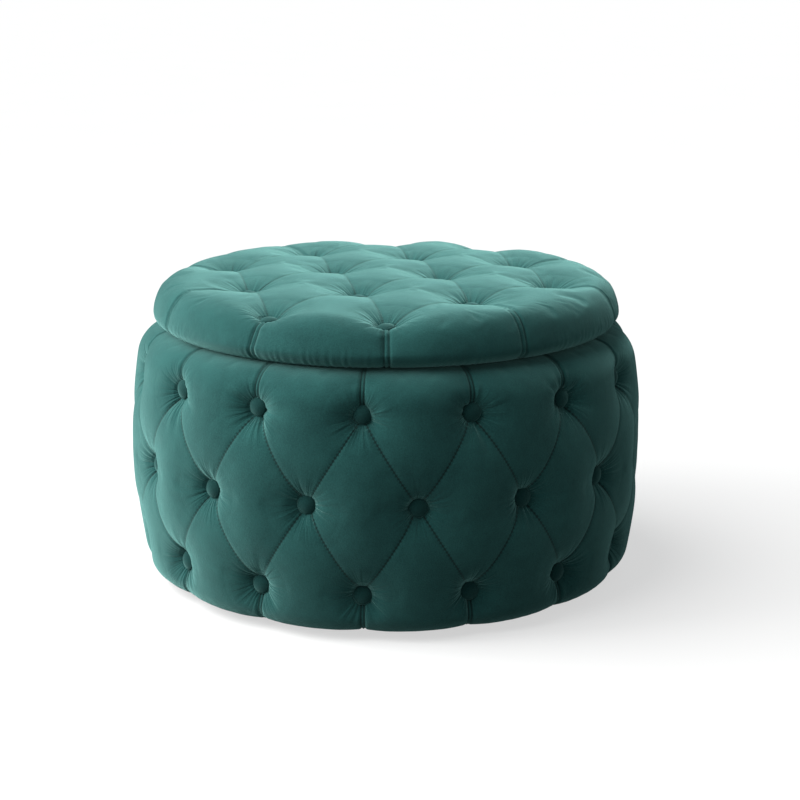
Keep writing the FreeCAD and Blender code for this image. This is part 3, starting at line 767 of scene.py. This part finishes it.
def button_row(name, node_name, seats, seed):
    """Domed buttons, one at each seat: a point behind the button and its outward direction."""
    dome = BUTTON_HEIGHT - BUTTON_EDGE
    ball = (BUTTON_RADIUS ** 2 + dome ** 2) / (2 * dome)
    side = math.degrees(math.asin((BUTTON_RADIUS - 0.0006) / ball))
    profile = [(0.0, 0.0), (BUTTON_RADIUS - 0.0018, 0.0), (BUTTON_RADIUS - 0.0004, 0.0007)]
    profile += [(BUTTON_RADIUS, 0.0017)]
    profile += arc((0, BUTTON_HEIGHT - ball), ball, 90 - side, 90, 6)
    chance = np.random.default_rng(seed)
    made = bmesh.new()
    places = []
    for number, (back, out) in enumerate(seats):
        line = [made.verts.new((r, 0, z)) for r, z in profile]
        edges = [made.edges.new(pair) for pair in zip(line, line[1:])]
        known = set(made.verts) - set(line)
        bmesh.ops.spin(made, geom=line + edges, cent=(0, 0, 0), axis=(0, 0, 1),
                       angle=2 * math.pi, steps=BUTTON_SIDES, use_merge=True)
        new = [vert for vert in made.verts if vert not in known]
        places += [(vert.co.x, vert.co.y, number) for vert in new]
        tilt = Matrix.Rotation(math.radians(chance.uniform(0, BUTTON_TILT)), 4,
                               Vector((*chance.normal(size=2), 0)).normalized())
        stand = Matrix.Translation(back + out * chance.uniform(*BUTTON_STAND))
        turned = out.to_track_quat("Z", "Y").to_matrix().to_4x4()
        bmesh.ops.transform(made, verts=new, matrix=stand @ turned @ tilt)
    layer = made.verts.layers.float_vector.new("from_button")
    for vert, local in zip(made.verts, places):
        vert[layer] = local
    bmesh.ops.remove_doubles(made, verts=made.verts, dist=1e-6)
    bmesh.ops.recalc_face_normals(made, faces=made.faces)
    offsets = np.array([vert[layer][:2] for vert in made.verts])
    piece = keep(name, made)
    mark(piece, "away_button", np.linalg.norm(offsets, axis=1))
    for distance in ("away_seam", "away_pleat"):
        mark(piece, distance, np.full(len(offsets), NO_SEAM))
    # The buttons take the darker copy of the velvet, with its painted shade.
    piece.data.materials.append(shaded_button_velvet)
    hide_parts(node_name)
    return piece


for row, z in enumerate(ROW_Z):
    surface = belly(BELLY_Z, z, 1)[0][0]
    seats = []
    for number in range(BUTTONS_PER_ROW):
        half_step = 0.5 if row == 1 else 0
        turn = BUTTON_PHASE + (number + half_step) * 2 * math.pi / BUTTONS_PER_ROW
        out_way = Vector((math.sin(turn), -math.cos(turn), 0))
        seats.append((out_way * (surface - BUTTON_BACK) + Vector((0, 0, z)), out_way))
    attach(button_row("covered_" + ROWS[row], ROWS[row], seats, 11 + row), "body")


# ------------------------------------------------------------------ dust cover
# Black spunbond polypropylene, stapled over the underside. Heated rollers press a close
# pattern of small dots into it, and loose fibres make it mottled between them.
DOT = 0.0024                  # dot spacing, drawn three times too coarse so that it shows

spunbond, tree = new_material("black_spunbond_cloth")
place = node(tree, "TexCoord").outputs["Object"]
dots = node(tree, "TexVoronoi", {"Scale": 1 / DOT, "Randomness": 0.0},
            {"Vector": place}).outputs[0]
fibres = node(tree, "TexNoise", {"Scale": 1 / DOT, "Detail": 4.0, "Distortion": 1.5},
              {"Vector": place}).outputs[0]
relief = node(tree, "Bump", {"Strength": 0.5, "Distance": 0.0003}, {"Height": dots})
finish_material(tree, {"Roughness": 0.8},
                {"Base Color": mixed(tree, "#131414", "#2b2c2d", fibres),
                 "Normal": relief.outputs[0]})
paint(["dust_cover"], spunbond)


# ------------------------------------------------------------------ tufted cover of the lid
# The same velvet over a thick foam pad on the lid board: fourteen buttons in a turned
# diamond lattice, stitched folds between them, doubled pleats from the outer buttons over
# the edge, and small puckers where the cloth is drawn in and stapled underneath.
LID_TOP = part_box("lid_cover")[1].z
LID_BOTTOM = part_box("lid_cover")[0].z
BOARD_BOTTOM, BOARD_TOP = (corner.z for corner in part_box("lid_board"))
BOARD_RADIUS = centre_and_radius("lid_board")[1]
LID_RADIUS = 0.294
LEVEL_REACH = 0.040           # level middle of the crown
DOME_ARC = 3.200              # radius of the crown, and of the rounding at its edge
EDGE_ARC = 0.040
LID_TURN_IN = BOARD_RADIUS - 0.030  # edge of the cover, turned in under the board
LATTICE_TURN = math.radians(-16)
HALF_PITCH = 0.070            # half the distance between buttons in a row
ROW_PITCH = 0.122
LID_ROWS = (2, 3, 4, 3, 2)
LID_CELLS = 20                # mesh cells from one row of buttons to the next
GRID_REACH = 0.262            # the mesh follows the lattice to here, and rings beyond
FIRST_RING = GRID_REACH + 0.006
CROWN_STEP = 0.002            # spacing of the points that describe the crown
JUNCTION_IN = 0.008           # the cells are evened out where the lattice meets the rings
JUNCTION_OUT = 0.011
JUNCTION_PASSES = 12
SIDE_DRAW = 0.0035            # how far the staples draw the side of the pad in
UNDER_DRAW = -0.004           # less where the pad bulges over them,
UNDER_REACH = 0.056           # this far in from the end of the cloth
UNDER_WIDTH = 0.013

EDGE_X = LID_RADIUS - EDGE_ARC
CROWN_RISE = math.acos((EDGE_X - LEVEL_REACH) / (DOME_ARC - EDGE_ARC))
EDGE_Z = LID_TOP - DOME_ARC + (DOME_ARC - EDGE_ARC) * math.sin(CROWN_RISE)


def crown_height(radius):
    """Height of the lid's surface at a distance from its middle, out to the widest point."""
    if radius > EDGE_X:
        return EDGE_Z + math.sqrt(EDGE_ARC ** 2 - (radius - EDGE_X) ** 2)
    return LID_TOP - DOME_ARC + math.sqrt(DOME_ARC ** 2 - max(radius - LEVEL_REACH, 0) ** 2)


side_start = math.degrees(math.acos((FIRST_RING - EDGE_X) / EDGE_ARC))
under_arc = EDGE_Z - LID_BOTTOM
side = arc((EDGE_X, EDGE_Z), EDGE_ARC, side_start, 0, 12)
side += arc((LID_RADIUS - under_arc, EDGE_Z), under_arc, 0, -90, 8)
side += run(side[-1], (LID_TURN_IN, LID_BOTTOM), 6)
crown = [(k * CROWN_STEP, crown_height(k * CROWN_STEP))
         for k in range(1 + int(EDGE_X / CROWN_STEP))]
crown += arc((EDGE_X, EDGE_Z), EDGE_ARC, math.degrees(CROWN_RISE), side_start, 10)
lid_line = (crown + side)[::-1]
LID_REACH = float(np.linalg.norm(np.diff(np.array(lid_line), axis=0), axis=1).sum())

made = bmesh.new()
columns = 2 * math.ceil(GRID_REACH / HALF_PITCH * LID_CELLS)
rows = 2 * math.ceil(GRID_REACH / ROW_PITCH * LID_CELLS)
bmesh.ops.create_grid(made, x_segments=columns, y_segments=rows, size=1.0)
bmesh.ops.scale(made, verts=made.verts, vec=(columns / 2 * HALF_PITCH / LID_CELLS,
                                             rows / 2 * ROW_PITCH / LID_CELLS, 1))
bmesh.ops.rotate(made, verts=made.verts, cent=(0, 0, 0),
                 matrix=Matrix.Rotation(LATTICE_TURN, 3, "Z"))
bmesh.ops.delete(made, geom=[v for v in made.verts if v.co.xy.length > GRID_REACH],
                 context="VERTS")
bmesh.ops.delete(made, geom=[v for v in made.verts if not v.link_faces], context="VERTS")
for vert in made.verts:
    vert.co.z = crown_height(vert.co.xy.length)
edge_loop = [edge for edge in made.edges if edge.is_boundary]
levels = [(FIRST_RING, crown_height(FIRST_RING))] + side
levels += [(LID_TURN_IN, BOARD_BOTTOM), (BOARD_RADIUS + FIT, BOARD_BOTTOM),
           (BOARD_RADIUS + FIT, BOARD_TOP)]
for level, (radius, z) in enumerate(levels):
    grown = bmesh.ops.extrude_edge_only(made, edges=edge_loop)["geom"]
    ring = [item for item in grown if isinstance(item, bmesh.types.BMVert)]
    edge_loop = [item for item in grown if isinstance(item, bmesh.types.BMEdge)]
    if level == 0:
        ring.sort(key=lambda vert: math.atan2(vert.co.y, vert.co.x))
        step = 2 * math.pi / len(ring)
        turns = [math.atan2(vert.co.y, vert.co.x) for vert in ring]
        first = sum(turn - number * step for number, turn in enumerate(turns)) / len(ring)
        for number, vert in enumerate(ring):
            turn = first + number * step
            vert.co = (radius * math.cos(turn), radius * math.sin(turn), z)
    else:
        for vert in ring:
            share = radius / vert.co.xy.length
            vert.co = (vert.co.x * share, vert.co.y * share, z)
junction = [vert for vert in made.verts if vert.co.z > EDGE_Z
            and GRID_REACH - JUNCTION_IN < vert.co.xy.length < GRID_REACH + JUNCTION_OUT]
for _ in range(JUNCTION_PASSES):
    bmesh.ops.smooth_vert(made, verts=junction, factor=0.5, use_axis_x=True, use_axis_y=True)
for vert in junction:
    vert.co.z = crown_height(vert.co.xy.length)
bmesh.ops.recalc_face_normals(made, faces=made.faces)
lid_cover = keep("velvet_lid_cover", made)


def lid_spot(row, place):
    """Point of the flat cloth of the lid, by row and by half pitches along the row."""
    x, y = place * HALF_PITCH, row * ROW_PITCH
    return (x * math.cos(LATTICE_TURN) - y * math.sin(LATTICE_TURN),
            x * math.sin(LATTICE_TURN) + y * math.cos(LATTICE_TURN))


lid_spots = []
for row, count in zip((-2, -1, 0, 1, 2), LID_ROWS):
    lid_spots += [(row, place) for place in range(1 - count, count, 2)]
lid_seats = [lid_spot(row, place) for row, place in lid_spots]
lid_seams = [(lid_spot(row, place), lid_spot(row + 1, place + way))
             for row, place in lid_spots
             for way in (-1, 1) if (row + 1, place + way) in lid_spots]
LID_PLEAT = 0.0028            # half the width of a pleat at its button, and its widening
LID_PLEAT_SPREAD = 1.3
PLEAT_END = 0.020             # pleats stop this far in from the end of the cloth
lid_tucks = []
lid_pleats = []
for (row, place), (x, y) in zip(lid_spots, lid_seats):
    if abs(row) < 2 and abs(place) < LID_ROWS[row + 2] - 1:
        continue
    length = math.hypot(x, y)
    along = np.array((x, y)) / length
    across = np.array((-along[1], along[0]))
    end = along * (LID_REACH - PLEAT_END)
    lid_tucks.append(((x, y), end))
    for shift in (-LID_PLEAT, LID_PLEAT):
        lid_pleats.append((along * length + across * shift,
                           end + across * shift * LID_PLEAT_SPREAD))


def lid_pattern(piece):
    """Where each point of the undented lid lies on the flat cloth, and its outward direction."""
    points = points_of(piece)
    along, out = outline_places(points, lid_line)
    reach = np.where(along < 0, 1.0, LID_REACH - along)
    radius = np.maximum(np.hypot(points[:, 0], points[:, 1]), 1e-9)
    return points[:, :2] * (reach / radius)[:, None], out


LID_PIT_WIDTH = 0.0240        # wider pits than the body's, in a thicker and softer pad
LID_FOLD_DEPTH = 0.0020
TUFTED_SHORT = 0.035          # the tufting ends this far in from the end of the cloth,
FREE_SHORT = 0.060            # and the cover swells to here
LID_STITCHED = 0.0012         # cloth this near to a fold is held by its stitches
LID_PRESSURE = 2.0
LID_GROWTH = 0.004
LID_SWELL = 0.005
LID_PULL = 0.7                # strength of the gathers
LID_PLEAT_GROOVE = 0.0022
PUCKER_START = 0.075          # stretch of the side that puckers, in from the end of the cloth
PUCKER_END = 0.004
PUCKER_FADE = 0.020
PUCKER_HEIGHT = 0.0008

undented = twin_of(lid_cover)
cloth_place, out = lid_pattern(undented)
reach = np.linalg.norm(cloth_place, axis=1)
away_button = to_buttons(cloth_place, lid_seats)[0]
away_fold = to_lines(cloth_place, lid_seams + lid_tucks)[0]
sunk = dip(away_button, away_fold, LID_PIT_WIDTH, LID_FOLD_DEPTH)
sunk *= np.clip((LID_REACH - TUFTED_SHORT - reach) / FADE, 0, 1)
drawn = SIDE_DRAW * np.clip((reach - EDGE_X) / FADE, 0, 1)
drawn += UNDER_DRAW * np.exp(-((reach - LID_REACH + UNDER_REACH) / UNDER_WIDTH) ** 2)
moved = out * sunk[:, None] + out * drawn[:, None] * (1, 1, 0)
place_points(lid_cover, points_of(lid_cover) - moved)
free = (reach < LID_REACH - FREE_SHORT) & (away_button > BUTTON_RADIUS)
free &= away_fold > LID_STITCHED
swell(lid_cover, ~free, LID_PRESSURE, LID_GROWTH, LID_SWELL)
finer(lid_cover, "CATMULL_CLARK")
finer(undented, "SIMPLE")
cloth_place, out = lid_pattern(undented)
bpy.data.objects.remove(undented)
reach = np.linalg.norm(cloth_place, axis=1)
away_button, which, offset = to_buttons(cloth_place, lid_seats)
away_seam, along_seam = to_lines(cloth_place, lid_seams)
away_pleat, along_pleat = to_lines(cloth_place, lid_pleats)
crease_along(lid_cover, away_seam)
relief = gathers(away_button, which, offset, np.full(len(lid_seats), LID_PULL), 21)
relief -= SEAM_GROOVE * np.exp(-away_seam / SEAM_WIDTH)
relief -= LID_PLEAT_GROOVE * np.exp(-(away_pleat / PLEAT_WIDTH) ** 2)
low_edge = np.clip((reach - LID_REACH + PUCKER_START) / FADE, 0, 1)
low_edge *= np.clip((LID_REACH - PUCKER_END - reach) / PUCKER_FADE, 0, 1)
turn = np.arctan2(cloth_place[:, 1], cloth_place[:, 0])
relief += PUCKER_HEIGHT * puckers(turn, 31) * low_edge
place_points(lid_cover, points_of(lid_cover) + out * relief[:, None])
mark(lid_cover, "away_seam", away_seam)
mark(lid_cover, "along_seam", along_seam)
mark(lid_cover, "away_pleat", away_pleat)
mark(lid_cover, "away_button", away_button)
mark(lid_cover, "from_button", np.column_stack([offset, which]))
lid_cover.data.materials.append(velvet)
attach(lid_cover, "lid")
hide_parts("lid_cover", "lid_padding")


# ------------------------------------------------------------------ buttons of the lid
# Fourteen more of the same covered buttons, drawn down into the pad from above.
seats = [(Vector((x, y, crown_height(math.hypot(x, y)) - BUTTON_BACK)), Vector((0, 0, 1)))
         for x, y in lid_seats]
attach(button_row("covered_lid_buttons", "lid_buttons", seats, 23), "lid")


# ------------------------------------------------------------------ studio
# Pale seamless floor, softly lit from beneath, under a broad light from the left and above
# and a soft box on the left. A weak even surround fills the shadows. Floor and surround look
# white, and send less light back to the object than they seem to.
SUN_FROM = (-0.88, -0.05, 0.95)
SUN_STRENGTH = 3.7
SUN_WIDTH = 70                # degrees of sky that the broad light covers
BOX_FROM = (-1.6, -0.25, 1.25)
BOX_AIM = (0, 0, 0.20)
BOX_SIZE = 1.2
BOX_POWER = 31
FILL = 0.21                   # strength of the surround
FLOOR_RADIUS = 45.0
FLOOR_GLOW = 0.6              # share of the floor's brightness that comes from beneath
CAMERA_BACK = 2.275
CAMERA_HEIGHT = 0.793
CAMERA_DOWN = 14.34           # degrees below level
LENS = 82.1
SIDE_SHIFT = 0.0172

bpy.context.scene.view_settings.view_transform = "Standard"
world = bpy.data.worlds.new("surround")
bpy.context.scene.world = world
world.use_nodes = True
tree = world.node_tree
tree.nodes.clear()
seen = node(tree, "LightPath").outputs["Is Camera Ray"]
dim = node(tree, "Background", {"Color": (0.92, 0.97, 1.0, 1.0), "Strength": FILL})
bright = node(tree, "Background", {"Color": (1.0, 1.0, 1.0, 1.0), "Strength": 1.0})
both = node(tree, "MixShader", links={0: seen, 1: dim.outputs[0], 2: bright.outputs[0]})
node(tree, "OutputWorld", links={"Surface": both.outputs[0]})

made = bmesh.new()
bmesh.ops.create_circle(made, cap_ends=True, segments=96, radius=FLOOR_RADIUS)
floor = keep("floor", made)
matt, tree = new_material("matt_studio_floor")
place = node(tree, "TexCoord").outputs["Object"]
mottle = node(tree, "TexNoise", {"Scale": 3.0}, {"Vector": place}).outputs[0]
lit = node(tree, "BsdfDiffuse", links={0: mixed(tree, "#f6f6f5", "#fbfbfa", mottle)})
glow = node(tree, "Emission", {"Strength": 1.0})
shown = node(tree, "MixShader", {0: FLOOR_GLOW}, {1: lit.outputs[0], 2: glow.outputs[0]})
bounced = node(tree, "BsdfDiffuse", {0: linear("#747474")})
seen = node(tree, "LightPath").outputs["Is Camera Ray"]
both = node(tree, "MixShader", links={0: seen, 1: bounced.outputs[0], 2: shown.outputs[0]})
node(tree, "OutputMaterial", links={"Surface": both.outputs[0]})
floor.data.materials.append(matt)

sun = bpy.data.lights.new("broad_soft_light", "SUN")
sun.energy = SUN_STRENGTH
sun.angle = math.radians(SUN_WIDTH)
lamp = bpy.data.objects.new("broad_soft_light", sun)
lamp.rotation_mode = "QUATERNION"
lamp.rotation_quaternion = (-Vector(SUN_FROM)).to_track_quat("-Z", "Y")
bpy.context.scene.collection.objects.link(lamp)

box = bpy.data.lights.new("left_soft_box", "AREA")
box.size = BOX_SIZE
box.energy = BOX_POWER
lamp = bpy.data.objects.new("left_soft_box", box)
lamp.location = BOX_FROM
lamp.rotation_mode = "QUATERNION"
lamp.rotation_quaternion = (Vector(BOX_AIM) - Vector(BOX_FROM)).to_track_quat("-Z", "Y")
bpy.context.scene.collection.objects.link(lamp)

lens = bpy.data.cameras.new("camera")
lens.lens = LENS
lens.shift_x = SIDE_SHIFT
camera = bpy.data.objects.new("camera", lens)
camera.location = (0, -CAMERA_BACK, CAMERA_HEIGHT)
camera.rotation_euler = (math.radians(90 - CAMERA_DOWN), 0, 0)
bpy.context.scene.collection.objects.link(camera)
bpy.context.scene.camera = camera
